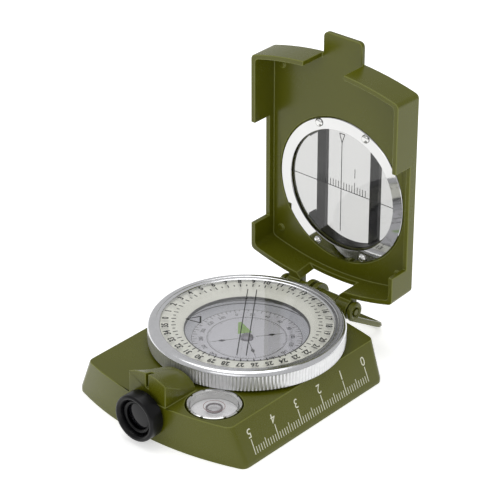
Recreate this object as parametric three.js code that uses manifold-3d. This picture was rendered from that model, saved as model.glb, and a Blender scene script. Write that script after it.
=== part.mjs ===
// Folding sighting compass: cast base with a turning bezel, a floating card, a focusing eyepiece,
// a hinged lid with a sighting window, and a wire thumb loop on the hinge pin.
// Millimetres. X is the width, Y runs from the eyepiece to the hinge, Z is up.
// The dial's axis is X = Y = 0 and the underside is Z = 0. The lid stands open.
import * as THREE from "three";
import { mergeVertices } from "three/addons/utils/BufferGeometryUtils.js";
import Module from "manifold-3d";

const wasm = await Module();
wasm.setup();

// Fits
const GAP = 0.3; // between two pieces that touch
const RUN = 0.6; // between two pieces that move past each other

// Dial
const SCALE_INNER = 18.25; // opening of the numbered ring
const SCALE_WIDTH = 6.55;
const SCALE_T = 0.8;
const CUP_R = 22.2; // capsule that holds the card
const CUP_WALL = 1.2;
const CUP_FLOOR = 3.0; // height of the capsule's underside
const NECK_WALL = 1.5; // collar round the capsule, which the bezel turns on
const NECK_RISE = 2.4; // collar above the base's top
const BEZEL_R = 28.7;
const BEZEL_RISE = 6.5; // rim above the base's top
const BEZEL_LIP = 1.8; // inner lip that the retaining ring holds down
const CRYSTAL_T = 0.8; // window over the bezel
const CRYSTAL_SINK = 0.2; // its face below the rim
const GLASS_T = 0.5; // window over the capsule
const SEAL_WIDTH = 1.6;
const SEAL_T = 0.7;
const KEEPER_T = 0.4; // ring that holds the bezel down
const CARD_R = 16.2;
const CARD_T = 0.6;
const CARD_SINK = 2.0; // underside of the card below the collar
const HUB_R = 1.8;
const HUB_WALL = 0.5;
const HUB_RISE = 1.0;
const PIVOT_R = 0.9;
const PIVOT_FOOT_R = 2.2;
const MAGNET_IN = 6.5;
const MAGNET_OUT = 9.5;
const MAGNET_T = 1.4;

// Base
const BASE_HALF = 31.45; // half width at the foot
const TOP_HALF = 26.8; // half width at the top
const BASE_H = 12.1;
const FOOT = 1.5; // upright band at the foot
const FRONT_SHELF = 9.35; // from the bezel to the front corners
const REAR_TUCK = 3.75; // rear corners inside the bezel's radius
const FRONT_DRAFT = 1.05;
const REAR_DRAFT = 1.25;
const FRONT_BOW = 4.4;
const FRONT_BOW_FOOT = 5.9;
const REAR_BOW = 3.4;
const CORNER = 1.8;
const WALL = 1.8;
const ROOF = 2.0;
const PLATE_T = 1.4;

// Sight housing and eyepiece
const SIGHT_HALF = 6.8;
const SIGHT_RISE = 8.4; // crown above the base's top
const SIGHT_CROWN = 1.6; // crown above its own shoulders
const SIGHT_FALL = 4.1; // how much lower the housing is at the bezel
const SIGHT_STEPS = 8;
const ARCH_STEPS = 24;
const SLOT_HALF = 0.5;
const SLOT_DEPTH = 4.7;
const EYE_R = 7.05;
const EYE_LENGTH = 4.7;
const EYE_SPIGOT = 5.0;
const EYE_UP = 8.4; // sight line above the underside
const SPIGOT_LENGTH = 7.0;
const LENS_R = 4.7;
const LENS_SEAT = 4.2; // shoulder behind the lens, from the front
const PRISM = 5.2;
const PRISM_BACK = 9.6; // behind the nose
const CRADLE_T = 0.6;
const CRADLE_RISE = 3.4;

// Bubble level
const LEVEL_R = 7.8;
const LEVEL_WALL = 1.2;
const LEVEL_GAP = 0.4;
const LEVEL_OUT = 1.4; // from the collar to its sleeve
const LEVEL_FLOOR = 5.0;
const LEVEL_RIM = 1.0; // wall of its case
const LEVEL_SOLE = 0.8;

// Hinge and thumb loop
const PIN_R = 1.0;
const HINGE_BACK = 4.75; // axis behind the base's rear
const HINGE_UP = 0.3; // axis above the base's top
const BARREL_R = 2.8;
const FLANGE_R = 4.4;
const FLANGE_T = 1.5;
const FLANGE_AT = [-3.9, -1.2];
const LUG_R = 2.9;
const GAP_HALF = 7.4; // openings in the lid's two end walls
const LUG_OUT = 12.0;
const WIRE_R = 0.9;
const LOOP_LENGTH = 18.0;
const LOOP_BEND = 3.0;

// Lid
const LID_HALF = 26.84;
const LID_DEPTH = 10.3;
const LID_WALL = 1.5;
const LID_PLATE = 1.5;
const LID_LIP = 0.3; // what is left of the plate behind the window
const LID_EDGE = 3.56; // what is left of a wall where it is notched
const NOTCH_FRONT = 16.4; // side notches, from the dial's axis
const NOTCH_REAR = 17.1;
const LID_BOW = 3.8;
const LID_REAR_BOW = 4.15;
const LID_REAR_DRAFT = 0.45;
const LID_CORNER = 1.3;
const TAB_HALF = 7.0;
const TAB_LENGTH = 6.3;
const TAB_CORNER = 1.8;
const STUD_R = 1.1; // marks in the lid's corners
const STUD_IN = 4.6;
const WINDOW_R = 18.8;
const WINDOW_X = 0.5; // its middle, over the dial when the lid is shut
const WINDOW_Y = 0.6;
const MIRROR_IN = 19.2;
const MIRROR_OUT = 22.8;
const MIRROR_T = 0.4;
const MIRROR_PROUD = 0.05;
const DISC_T = 0.5;
const DISC_LAP = 1.4; // under the mirror ring
const SCREW_CIRCLE = 21.4;
const SCREW_ANGLE = 66.4; // degrees from the lid's width
const FRAME_IN = 18.6;
const FRAME_OUT = 23.6;
const FRAME_HALF = 13.0;
const FRAME_T = 3.2;
const BAR_AT = 9.9;
const BAR_WIDTH = 3.2;
const BAR_T = 1.4;

// Screws
const SHANK_R = 0.7;
const HEAD_R = 1.5;
const DOME_R = 1.3; // window screw heads
const DOME_T = 0.45;
const BOSS_R = 2.4;
const BOSS_FRONT = { in: 1.2, y: 22.0 }; // inside the top's edge, from the dial's axis
const BOSS_REAR = { in: 2.3, y: 18.0 };

// How far the lid stands open, and the loop's fall behind the hinge, in degrees
const LID_OPEN = 89.4;
const LOOP_FALL = 30.8;

// Worked out from the sizes above
const frontTop = -(BEZEL_R + FRONT_SHELF);
const rearTop = BEZEL_R - REAR_TUCK;
const noseY = frontTop - FRONT_BOW;
const noseFoot = frontTop + FRONT_DRAFT - FRONT_BOW_FOOT;
const hinge = { y: rearTop + REAR_BOW + HINGE_BACK, z: BASE_H + HINGE_UP };
const neckR = CUP_R + GAP + NECK_WALL;
const neckTop = BASE_H + NECK_RISE;
const rimInner = SCALE_INNER + SCALE_WIDTH + GAP;
const bezelFoot = BASE_H + RUN;
const bezelTop = BASE_H + BEZEL_RISE;
const lidTop = BASE_H + GAP + LID_DEPTH; // outer face of the closed lid
const lidFloor = lidTop - LID_PLATE; // its inner face
const eye = { z: EYE_UP, back: Math.min(noseY, noseFoot) - GAP };
const screwHoleR = SHANK_R + GAP;
const wireX = LUG_OUT + GAP + WIRE_R;
const pinEnd = wireX + WIRE_R;

const paint = { color: 0x5a5c2e, roughness: 0.55, metalness: 0.0 };
const blackPlastic = { color: 0x18181b, roughness: 0.45, metalness: 0.0 };
const brightMetal = { color: 0xd2d4d6, roughness: 0.25, metalness: 1.0 };
const brass = { color: 0xb9975b, roughness: 0.35, metalness: 1.0 };
const steel = { color: 0x9a9ca0, roughness: 0.4, metalness: 1.0 };
const clear = { color: 0xe6eef0, roughness: 0.05, metalness: 0.0, transparent: true, opacity: 0.25 };
const rubber = { color: 0x101010, roughness: 0.8, metalness: 0.0 };

// ---- Solids ----

function solid(geometry) {
  const bare = geometry.clone();
  for (const name of Object.keys(bare.attributes)) {
    if (name !== "position") bare.deleteAttribute(name);
  }
  const merged = mergeVertices(bare, 1e-4);
  return new wasm.Manifold(
    new wasm.Mesh({
      numProp: 3,
      vertProperties: new Float32Array(merged.attributes.position.array),
      triVerts: new Uint32Array(merged.index.array),
    }),
  );
}

function geometryOf(body) {
  const mesh = body.getMesh();
  const geometry = new THREE.BufferGeometry();
  geometry.setAttribute("position", new THREE.BufferAttribute(mesh.vertProperties, 3));
  geometry.setIndex(new THREE.BufferAttribute(mesh.triVerts, 1));
  const flat = geometry.toNonIndexed();
  flat.computeVertexNormals();
  return flat;
}

function named(name, geometry, look) {
  const mesh = new THREE.Mesh(geometry, new THREE.MeshStandardMaterial(look));
  mesh.name = name;
  return mesh;
}

// A box given by its two corners.
function box(x0, x1, y0, y1, z0, z1) {
  const geometry = new THREE.BoxGeometry(x1 - x0, y1 - y0, z1 - z0);
  return geometry.translate((x0 + x1) / 2, (y0 + y1) / 2, (z0 + z1) / 2);
}

// An upright cylinder between two heights.
function post(radius, z0, z1, x = 0, y = 0, sides = 48) {
  const geometry = new THREE.CylinderGeometry(radius, radius, z1 - z0, sides);
  return geometry.rotateX(Math.PI / 2).translate(x, y, (z0 + z1) / 2);
}

// A cylinder along X at the hinge's axis.
function rod(radius, x0, x1, sides = 32) {
  const geometry = new THREE.CylinderGeometry(radius, radius, x1 - x0, sides);
  return geometry.rotateZ(Math.PI / 2).translate((x0 + x1) / 2, hinge.y, hinge.z);
}

// A profile of [radius, height] pairs, listed upwards along its outside, turned about Z.
function turned(profile, sides = 72) {
  const points = profile.map(([r, z]) => new THREE.Vector2(r, z));
  return new THREE.LatheGeometry(points, sides).rotateX(Math.PI / 2);
}

// A flat ring or, with no bore, a disc.
function ring(outer, inner, z0, z1, sides = 72) {
  const outside = [[inner, z0], [outer, z0], [outer, z1], [inner, z1]];
  return turned(inner ? [...outside, [inner, z0]] : outside, sides);
}

// A YZ outline pushed along X.
function slab(outline, x0, x1) {
  const shape = new THREE.Shape(outline.map(([y, z]) => new THREE.Vector2(y, z)));
  const geometry = new THREE.ExtrudeGeometry(shape, { depth: x1 - x0, bevelEnabled: false });
  const turn = new THREE.Matrix4().set(0, 0, 1, x0, 1, 0, 0, 0, 0, 1, 0, 0, 0, 0, 0, 1);
  return geometry.applyMatrix4(turn);
}

// The plan of the base or the lid: straight sides, bowed ends and rounded corners.
function plan(half, front, rear, frontBow, rearBow, corner, inset = 0) {
  const points = [];
  const w = half - inset;
  const end = (edge, bow, way) => {
    const at = (x) => edge + way * (bow * (1 - (x / half) ** 2) - inset);
    const reach = w - corner;
    const turnPoint = (side, k) => {
      const start = [side * w, at(w) - way * corner];
      const knee = [side * w, at(w)];
      const stop = [side * reach, at(reach)];
      return [0, 1].map((i) => (1 - k) ** 2 * start[i] + 2 * k * (1 - k) * knee[i] + k * k * stop[i]);
    };
    const side = way;
    for (const k of [0, 0.25, 0.5, 0.75]) points.push(turnPoint(side, k));
    for (let i = 0; i <= 16; i++) {
      const x = side * reach * (1 - i / 8);
      points.push([x, at(x)]);
    }
    for (const k of [0.75, 0.5, 0.25, 0]) points.push(turnPoint(-side, k));
  };
  end(rear, rearBow, 1);
  end(front, frontBow, -1);
  return points;
}

// A closed skin through plans at rising heights.
function loft(layers) {
  const positions = [];
  const index = [];
  const n = layers[0][0].length;
  for (const [outline, z] of layers) outline.forEach(([x, y]) => positions.push(x, y, z));
  for (let k = 0; k + 1 < layers.length; k++) {
    for (let i = 0; i < n; i++) {
      const a = k * n + i;
      const b = k * n + ((i + 1) % n);
      index.push(a, b, b + n, a, b + n, a + n);
    }
  }
  const last = (layers.length - 1) * n;
  for (let i = 1; i + 1 < n; i++) {
    index.push(0, i + 1, i);
    index.push(last, last + i, last + i + 1);
  }
  const geometry = new THREE.BufferGeometry();
  geometry.setAttribute("position", new THREE.Float32BufferAttribute(positions, 3));
  return geometry.setIndex(index);
}

// ---- Base ----

// The base's plan at a height, drawn in by inset.
function basePlan(z, inset = 0) {
  const k = Math.max(0, (z - FOOT) / (BASE_H - FOOT));
  const mix = (foot, top) => foot + (top - foot) * k;
  return plan(
    mix(BASE_HALF, TOP_HALF),
    mix(frontTop + FRONT_DRAFT, frontTop),
    mix(rearTop - REAR_DRAFT, rearTop),
    mix(FRONT_BOW_FOOT, FRONT_BOW),
    REAR_BOW,
    CORNER,
    inset,
  );
}

const levelPocket = LEVEL_R + LEVEL_GAP;
const levelSleeve = levelPocket + LEVEL_WALL;
const level = { x: SIGHT_HALF + levelPocket + GAP, y: 0 };
level.y = -Math.sqrt((neckR + LEVEL_GAP + levelSleeve) ** 2 - level.x ** 2) - LEVEL_OUT;
const bossAt = [
  [-(TOP_HALF - BOSS_FRONT.in), -BOSS_FRONT.y],
  [TOP_HALF - BOSS_FRONT.in, -BOSS_FRONT.y],
  [-(TOP_HALF - BOSS_REAR.in), BOSS_REAR.y],
  [TOP_HALF - BOSS_REAR.in, BOSS_REAR.y],
];

// The housing over the eyepiece: arched, with sides that run out towards the bezel.
function sightHousing() {
  const front = noseY + GAP;
  const back = -(BEZEL_R + RUN + GAP);
  const foot = BASE_H - ROOF / 2;
  const layers = [];
  for (let k = 0; k <= SIGHT_STEPS; k++) {
    const run = k / SIGHT_STEPS; // from the bezel to the nose
    const side = BASE_H - GAP + (SIGHT_RISE - SIGHT_CROWN + GAP) * run;
    const crown = BASE_H + SIGHT_RISE - SIGHT_FALL * (1 - run);
    const outline = [[-SIGHT_HALF, foot], [SIGHT_HALF, foot]];
    for (let i = 0; i <= ARCH_STEPS; i++) {
      const turn = (Math.PI * i) / ARCH_STEPS;
      const arch = Math.sin(turn) ** (1 + run);
      outline.push([SIGHT_HALF * Math.cos(turn), side + (crown - side) * arch]);
    }
    layers.push([outline, -(back + (front - back) * run)]);
  }
  return solid(loft(layers).rotateX(Math.PI / 2));
}

// The base's half of the hinge: a barrel on a short neck, with two round flanges.
function hingeBarrel() {
  const half = GAP_HALF - GAP;
  let barrel = solid(rod(BARREL_R, -half, half));
  const neck = box(-half, half, rearTop, hinge.y, hinge.z - BARREL_R * 0.9, BASE_H);
  barrel = barrel.add(solid(neck));
  for (const x of FLANGE_AT) barrel = barrel.add(solid(rod(FLANGE_R, x, x + FLANGE_T)));
  return barrel;
}

function baseBody() {
  const shell = solid(loft([[basePlan(0), 0], [basePlan(FOOT), FOOT], [basePlan(BASE_H), BASE_H]]));
  const ceiling = BASE_H - ROOF;
  const room = loft([
    [basePlan(0, WALL), -1],
    [basePlan(FOOT, WALL), FOOT],
    [basePlan(ceiling, WALL), ceiling],
  ]);
  let body = shell.subtract(solid(room));
  let posts = solid(post(levelSleeve, LEVEL_FLOOR - LEVEL_WALL, ceiling + 1, level.x, level.y));
  for (const [x, y] of bossAt) {
    posts = posts.add(solid(post(BOSS_R, PLATE_T + GAP, ceiling + 1, x, y, 24)));
  }
  body = body.add(posts.intersect(shell));
  body = body.add(solid(post(neckR, ceiling, neckTop, 0, 0, 96)));
  body = body.add(sightHousing()).add(hingeBarrel());
  // Holes: capsule, level, eyepiece, sighting slot, screws and hinge pin.
  body = body.subtract(solid(post(CUP_R + GAP, -1, neckTop + 1, 0, 0, 96)));
  body = body.subtract(
    solid(post(levelPocket, LEVEL_FLOOR - GAP, BASE_H + 1, level.x, level.y)),
  );
  const bore = new THREE.CylinderGeometry(EYE_SPIGOT + GAP, EYE_SPIGOT + GAP, 10, 40);
  body = body.subtract(solid(bore.translate(0, noseY + 4, eye.z)));
  const crown = BASE_H + SIGHT_RISE;
  const slot = box(-SLOT_HALF, SLOT_HALF, noseY - 1, noseY + 3, crown - SLOT_DEPTH, crown + 1);
  body = body.subtract(solid(slot));
  for (const [x, y] of bossAt) {
    body = body.subtract(solid(post(screwHoleR, 0, ceiling - 2, x, y, 20)));
  }
  return body.subtract(solid(rod(PIN_R + GAP, -GAP_HALF, GAP_HALF)));
}

function undersidePlate() {
  let plate = solid(
    loft([[basePlan(0, WALL + GAP), 0], [basePlan(0, WALL + GAP), PLATE_T]]),
  );
  for (const [x, y] of bossAt) {
    plate = plate.subtract(solid(post(screwHoleR, -1, PLATE_T + 1, x, y, 20)));
    plate = plate.subtract(solid(post(HEAD_R + GAP, -1, PLATE_T / 2 + GAP, x, y, 24)));
  }
  return plate;
}

function plateScrew(x, y) {
  const head = PLATE_T / 2;
  const profile = [
    [0, 0.1],
    [HEAD_R, 0.1],
    [HEAD_R, head],
    [SHANK_R, head],
    [SHANK_R, BASE_H - ROOF - 3],
    [0, BASE_H - ROOF - 2.4],
  ];
  return turned(profile, 20).translate(x, y, 0);
}

// ---- Capsule and card ----

function capsuleCup() {
  const rim = neckTop - GAP;
  const bore = CUP_R - CUP_WALL;
  const floor = CUP_FLOOR + CUP_WALL;
  return turned([[0, CUP_FLOOR], [CUP_R, CUP_FLOOR], [CUP_R, rim], [bore, rim], [bore, floor], [0, floor]]);
}

const cardZ = neckTop - CARD_SINK; // underside of the card

function pivotPost() {
  const foot = CUP_FLOOR + CUP_WALL + GAP;
  const tip = cardZ + 0.2;
  return turned(
    [
      [0, foot],
      [PIVOT_FOOT_R, foot],
      [PIVOT_FOOT_R, foot + 1],
      [PIVOT_R, foot + 1.6],
      [PIVOT_R - 0.2, tip - 2],
      [0, tip],
    ],
    24,
  );
}

function cardHub() {
  const skirt = cardZ - GAP - 1.0;
  const dome = cardZ + CARD_T + HUB_RISE;
  const bore = HUB_R - HUB_WALL;
  const profile = [
    [bore, skirt],
    [HUB_R, skirt],
    [HUB_R, dome - 0.5],
    [HUB_R - 0.7, dome],
    [0, dome],
    [0, cardZ + 0.6],
    [bore, cardZ - 0.6],
    [bore, skirt],
  ];
  return turned(profile, 24);
}

function compassCard() {
  return ring(CARD_R, HUB_R + GAP, cardZ, cardZ + CARD_T, 64);
}

// A flat ring magnet under the card.
function needleMagnet() {
  return ring(MAGNET_OUT, MAGNET_IN, cardZ - GAP - MAGNET_T, cardZ - GAP, 40);
}

// ---- Bezel ----

function bezelRing() {
  const lip = bezelFoot + BEZEL_LIP;
  return turned(
    [
      [neckR + GAP, bezelFoot],
      [BEZEL_R - 0.5, bezelFoot],
      [BEZEL_R, bezelFoot + 0.5],
      [BEZEL_R, bezelTop - 1.6],
      [BEZEL_R - 0.15, bezelTop - 0.9],
      [BEZEL_R - 0.5, bezelTop - 0.3],
      [BEZEL_R - 1.1, bezelTop],
      [rimInner + 0.3, bezelTop],
      [rimInner, bezelTop - 0.3],
      [rimInner, lip],
      [neckR + GAP, lip],
      [neckR + GAP, bezelFoot],
    ],
    96,
  );
}

const ringSeat = Math.max(neckTop, bezelFoot + BEZEL_LIP) + GAP;
const sealTop = neckTop + SEAL_T;
const scaleFoot = Math.max(sealTop, ringSeat + KEEPER_T) + GAP;

function bezelRetainingRing() {
  return ring(rimInner - GAP, CUP_R + GAP, ringSeat, ringSeat + KEEPER_T, 96);
}

function capsuleGlass() {
  return ring(CUP_R - SEAL_WIDTH - GAP, 0, neckTop + GAP / 2, neckTop + GAP / 2 + GLASS_T, 72);
}

function capsuleSeal() {
  return ring(CUP_R, CUP_R - SEAL_WIDTH, neckTop, sealTop, 72);
}

function degreeRing() {
  return ring(rimInner - GAP, SCALE_INNER, scaleFoot, scaleFoot + SCALE_T, 96);
}

function bezelGlass() {
  const face = bezelTop - CRYSTAL_SINK;
  return ring(rimInner - GAP, 0, face - CRYSTAL_T, face, 96);
}

// ---- Bubble level ----

function levelCase() {
  const top = BASE_H + 0.2;
  const bore = LEVEL_R - LEVEL_RIM;
  const floor = LEVEL_FLOOR + LEVEL_SOLE;
  const profile = [
    [0, LEVEL_FLOOR],
    [LEVEL_R, LEVEL_FLOOR],
    [LEVEL_R, top - 0.3],
    [LEVEL_R - 0.3, top],
    [bore, top],
    [bore, floor],
    [0, floor],
  ];
  return turned(profile, 56).translate(level.x, level.y, 0);
}

function levelVial() {
  const radius = LEVEL_R - LEVEL_RIM - GAP;
  const profile = ring(radius, 0, LEVEL_FLOOR + LEVEL_SOLE + GAP, BASE_H - 0.1, 56);
  return profile.translate(level.x, level.y, 0);
}

// ---- Eyepiece and prism ----

// Profiles here run along the sight line: height in the profile becomes distance from the front.
function alongSight(profile, sides = 56) {
  const geometry = turned(profile, sides);
  return geometry.rotateX(-Math.PI / 2).translate(0, eye.back - EYE_LENGTH, eye.z);
}

function eyepieceBarrel() {
  return alongSight([
    [LENS_R + 0.9, 0],
    [EYE_R - 0.4, 0],
    [EYE_R, 0.4],
    [EYE_R, EYE_LENGTH],
    [EYE_SPIGOT, EYE_LENGTH],
    [EYE_SPIGOT, EYE_LENGTH + SPIGOT_LENGTH],
    [LENS_R - 1, EYE_LENGTH + SPIGOT_LENGTH],
    [LENS_R - 1, LENS_SEAT],
    [LENS_R + GAP, LENS_SEAT],
    [LENS_R + GAP, 1.4],
    [LENS_R + 0.9, 0],
  ]);
}

function eyepieceLens() {
  return alongSight([[0, 2.4], [LENS_R * 0.55, 2.55], [LENS_R, 3.0], [LENS_R, 3.9], [0, 3.9]], 48);
}

function lensRetainer() {
  const inner = LENS_R - 0.6;
  return alongSight(
    [[inner, 1.5], [LENS_R, 1.5], [LENS_R, 2.6], [inner, 2.3], [inner, 1.5]],
    48,
  );
}

const prismFront = noseY + PRISM_BACK;
const prismFoot = BASE_H - ROOF - GAP - PRISM;

// A right-angled prism that turns the sight line up towards the dial.
function sightPrism() {
  const z = prismFoot;
  const outline = [
    [prismFront, z],
    [prismFront + PRISM, z],
    [prismFront + PRISM, z + 0.6],
    [prismFront + 0.6, z + PRISM],
    [prismFront, z + PRISM],
  ];
  return slab(outline, -PRISM / 2, PRISM / 2);
}

// A folded sheet cradle under the prism.
function prismHolder() {
  const z = prismFoot - GAP;
  const half = PRISM / 2 + GAP;
  const side = half + CRADLE_T;
  const outer = box(-side, side, prismFront, prismFront + PRISM, z - CRADLE_T, z + CRADLE_RISE);
  const inner = box(-half, half, prismFront - 1, prismFront + PRISM + 1, z, z + 5);
  return solid(outer).subtract(solid(inner));
}

// ---- Lid, drawn closed and then swung open ----

const ringFront = lidFloor - MIRROR_PROUD;
const ringBack = ringFront + MIRROR_T;
const discR = MIRROR_IN + DISC_LAP;
const lidRear = rearTop + LID_REAR_DRAFT;
const lidFront = frontTop;
const screwAt = [1, -1].flatMap((sx) =>
  [1, -1].map((sy) => [
    WINDOW_X + sx * SCREW_CIRCLE * Math.cos(THREE.MathUtils.degToRad(SCREW_ANGLE)),
    WINDOW_Y + sy * SCREW_CIRCLE * Math.sin(THREE.MathUtils.degToRad(SCREW_ANGLE)),
  ]),
);

function lidPlan(inset, draft) {
  return plan(LID_HALF, lidFront, lidRear + draft, LID_BOW, LID_REAR_BOW, LID_CORNER, inset);
}

// The opening in the hinge end, which widens inwards.
function hingeOpening() {
  const outer = lidRear + LID_REAR_BOW;
  const half = GAP_HALF + LID_WALL;
  const shape = new THREE.Shape();
  shape.moveTo(-GAP_HALF, outer + 3);
  shape.lineTo(-GAP_HALF, outer);
  shape.lineTo(-half - 1, outer - LID_WALL - 1);
  shape.lineTo(half + 1, outer - LID_WALL - 1);
  shape.lineTo(GAP_HALF, outer);
  shape.lineTo(GAP_HALF, outer + 3);
  const height = lidTop - LID_EDGE;
  return new THREE.ExtrudeGeometry(shape, { depth: height, bevelEnabled: false });
}

// One side's hinge lug: a knuckle on the pin, joined to the lid's end wall.
function lidLug() {
  const outer = lidRear + LID_REAR_BOW * (1 - (LUG_OUT / LID_HALF) ** 2);
  const root = outer - LID_WALL / 2;
  const outline = [[root, hinge.z + LUG_R], [root, BASE_H + GAP]];
  for (let a = 180; a <= 450; a += 18) {
    const t = THREE.MathUtils.degToRad(a);
    outline.push([hinge.y + LUG_R * Math.cos(t), hinge.z + LUG_R * Math.sin(t)]);
  }
  return solid(slab(outline, GAP_HALF, LUG_OUT));
}

function lidShell() {
  const foot = BASE_H + GAP;
  const edge = 0.6;
  const outside = loft([
    [lidPlan(0, LID_REAR_DRAFT), foot],
    [lidPlan(0, 0), lidTop - edge],
    [lidPlan(edge, 0), lidTop],
  ]);
  const inside = loft([
    [lidPlan(LID_WALL, LID_REAR_DRAFT), foot - 1],
    [lidPlan(LID_WALL, 0), lidFloor],
  ]);
  let shell = solid(outside).subtract(solid(inside));
  const notchTop = lidTop - LID_EDGE;
  const sideNotch = box(-LID_HALF - 1, LID_HALF + 1, -NOTCH_FRONT, NOTCH_REAR, foot - 1, notchTop);
  const frontGap = box(-GAP_HALF, GAP_HALF, lidFront - 9, lidFront + 3, foot - 1, lidFloor);
  for (const cut of [sideNotch, frontGap]) shell = shell.subtract(solid(cut));
  const lug = lidLug();
  shell = shell.add(lug).add(lug.mirror([1, 0, 0])).subtract(solid(hingeOpening()));
  shell = shell.add(solid(liftTab()));
  for (const x of [-1, 1]) {
    for (const y of [lidRear - STUD_IN, lidFront + STUD_IN]) {
      const stud = post(STUD_R, lidFloor - 0.5, lidFloor + 0.5, x * (LID_HALF - STUD_IN), y, 20);
      shell = shell.add(solid(stud));
    }
  }
  shell = shell.subtract(solid(post(WINDOW_R, 0, lidTop + 1, WINDOW_X, WINDOW_Y, 96)));
  const rebate = post(MIRROR_OUT + GAP, lidFloor - 1, ringBack + GAP, WINDOW_X, WINDOW_Y, 96);
  const seat = post(discR + GAP, lidFloor - 1, lidTop - LID_LIP, WINDOW_X, WINDOW_Y, 96);
  shell = shell.subtract(solid(rebate)).subtract(solid(seat));
  for (const [x, y] of screwAt) {
    shell = shell.subtract(solid(post(screwHoleR, lidFloor - 1, lidTop + 1, x, y, 20)));
  }
  return shell.subtract(solid(rod(PIN_R + GAP, -pinEnd, pinEnd)));
}

// The finger tab at the lid's free end, with rounded corners.
function liftTab() {
  const root = lidFront - LID_BOW + 1;
  const tip = lidFront - LID_BOW - TAB_LENGTH;
  const r = TAB_CORNER;
  const shape = new THREE.Shape();
  shape.moveTo(-TAB_HALF, root);
  shape.lineTo(-TAB_HALF, tip + r);
  shape.quadraticCurveTo(-TAB_HALF, tip, -TAB_HALF + r, tip);
  shape.lineTo(TAB_HALF - r, tip);
  shape.quadraticCurveTo(TAB_HALF, tip, TAB_HALF, tip + r);
  shape.lineTo(TAB_HALF, root);
  const tab = new THREE.ExtrudeGeometry(shape, { depth: LID_PLATE, bevelEnabled: false });
  return tab.translate(0, 0, lidFloor);
}

function mirrorRing() {
  const chamfer = 0.2;
  const profile = [
    [MIRROR_IN, ringFront],
    [MIRROR_OUT - chamfer, ringFront],
    [MIRROR_OUT, ringFront + chamfer],
    [MIRROR_OUT, ringBack],
    [MIRROR_IN, ringBack],
    [MIRROR_IN, ringFront],
  ];
  let body = solid(turned(profile, 96).translate(WINDOW_X, WINDOW_Y, 0));
  for (const [x, y] of screwAt) body = body.subtract(solid(post(screwHoleR, 0, 40, x, y, 20)));
  return body;
}

function windowDisc() {
  const foot = ringBack + GAP;
  return ring(discR, 0, foot, foot + DISC_T, 96).translate(WINDOW_X, WINDOW_Y, 0);
}

// A black frame on the lid's outer face: two upright bars joined by arcs at their ends.
function sightFrame() {
  const foot = lidTop + GAP;
  const head = foot + FRAME_T;
  const arcs = solid(post(FRAME_OUT, foot, head, WINDOW_X, WINDOW_Y, 96))
    .subtract(solid(post(FRAME_IN, 0, head + 1, WINDOW_X, WINDOW_Y, 96)))
    .intersect(solid(box(-FRAME_HALF, FRAME_HALF, -60, 60, 0, 60)));
  let frame = arcs;
  const inside = solid(post(FRAME_OUT - 0.2, 0, head, WINDOW_X, WINDOW_Y, 96));
  for (const side of [-1, 1]) {
    const x = side * BAR_AT;
    const bar = box(x - BAR_WIDTH / 2, x + BAR_WIDTH / 2, -60, 60, head - BAR_T, head);
    frame = frame.add(solid(bar).intersect(inside));
  }
  for (const [x, y] of screwAt) {
    frame = frame.subtract(solid(post(screwHoleR, 0, head - 0.8, x, y, 20)));
  }
  return frame;
}

function windowScrew(x, y) {
  const seat = ringFront - GAP / 2;
  const profile = [
    [0, seat - DOME_T - 0.15],
    [DOME_R * 0.55, seat - DOME_T],
    [DOME_R * 0.92, seat - DOME_T / 3],
    [DOME_R, seat],
    [SHANK_R, seat],
    [SHANK_R, lidTop + FRAME_T - 1.2],
    [0, lidTop + FRAME_T - 1.0],
  ];
  return turned(profile, 20).translate(x, y, 0);
}

// ---- Thumb loop ----

// Bent wire: an eye on the pin at each side, two legs and a cross bar with round corners.
function thumbLoop() {
  const eyeR = PIN_R + GAP + WIRE_R;
  const fall = THREE.MathUtils.degToRad(LOOP_FALL);
  const along = new THREE.Vector3(0, Math.cos(fall), -Math.sin(fall));
  const below = new THREE.Vector3(0, -Math.sin(fall), -Math.cos(fall));
  const start = new THREE.Vector3(0, hinge.y, hinge.z).addScaledVector(below, eyeR);
  const at = (x, far) => start.clone().addScaledVector(along, far).setX(x);
  const bend = LOOP_BEND;
  const section = new THREE.Shape();
  section.absarc(0, 0, WIRE_R, 0, 2 * Math.PI);
  const path = new THREE.CurvePath();
  path.add(new THREE.LineCurve3(at(wireX, 0), at(wireX, LOOP_LENGTH - bend)));
  path.add(
    new THREE.QuadraticBezierCurve3(
      at(wireX, LOOP_LENGTH - bend),
      at(wireX, LOOP_LENGTH),
      at(wireX - bend, LOOP_LENGTH),
    ),
  );
  path.add(new THREE.LineCurve3(at(wireX - bend, LOOP_LENGTH), at(0, LOOP_LENGTH)));
  const half = new THREE.ExtrudeGeometry(section, {
    steps: 22,
    curveSegments: 3,
    bevelEnabled: false,
    extrudePath: path,
  });
  const torus = new THREE.TorusGeometry(eyeR, WIRE_R, 8, 20);
  torus.rotateY(Math.PI / 2).translate(wireX, hinge.y, hinge.z);
  const side = solid(half).add(solid(torus));
  const overlap = new THREE.CylinderGeometry(WIRE_R, WIRE_R, 1, 12).rotateZ(Math.PI / 2);
  const middle = at(0, LOOP_LENGTH);
  overlap.translate(middle.x, middle.y, middle.z);
  return side.add(side.mirror([1, 0, 0])).add(solid(overlap));
}

// ---- Assembly ----

const compass = new THREE.Group();

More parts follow.
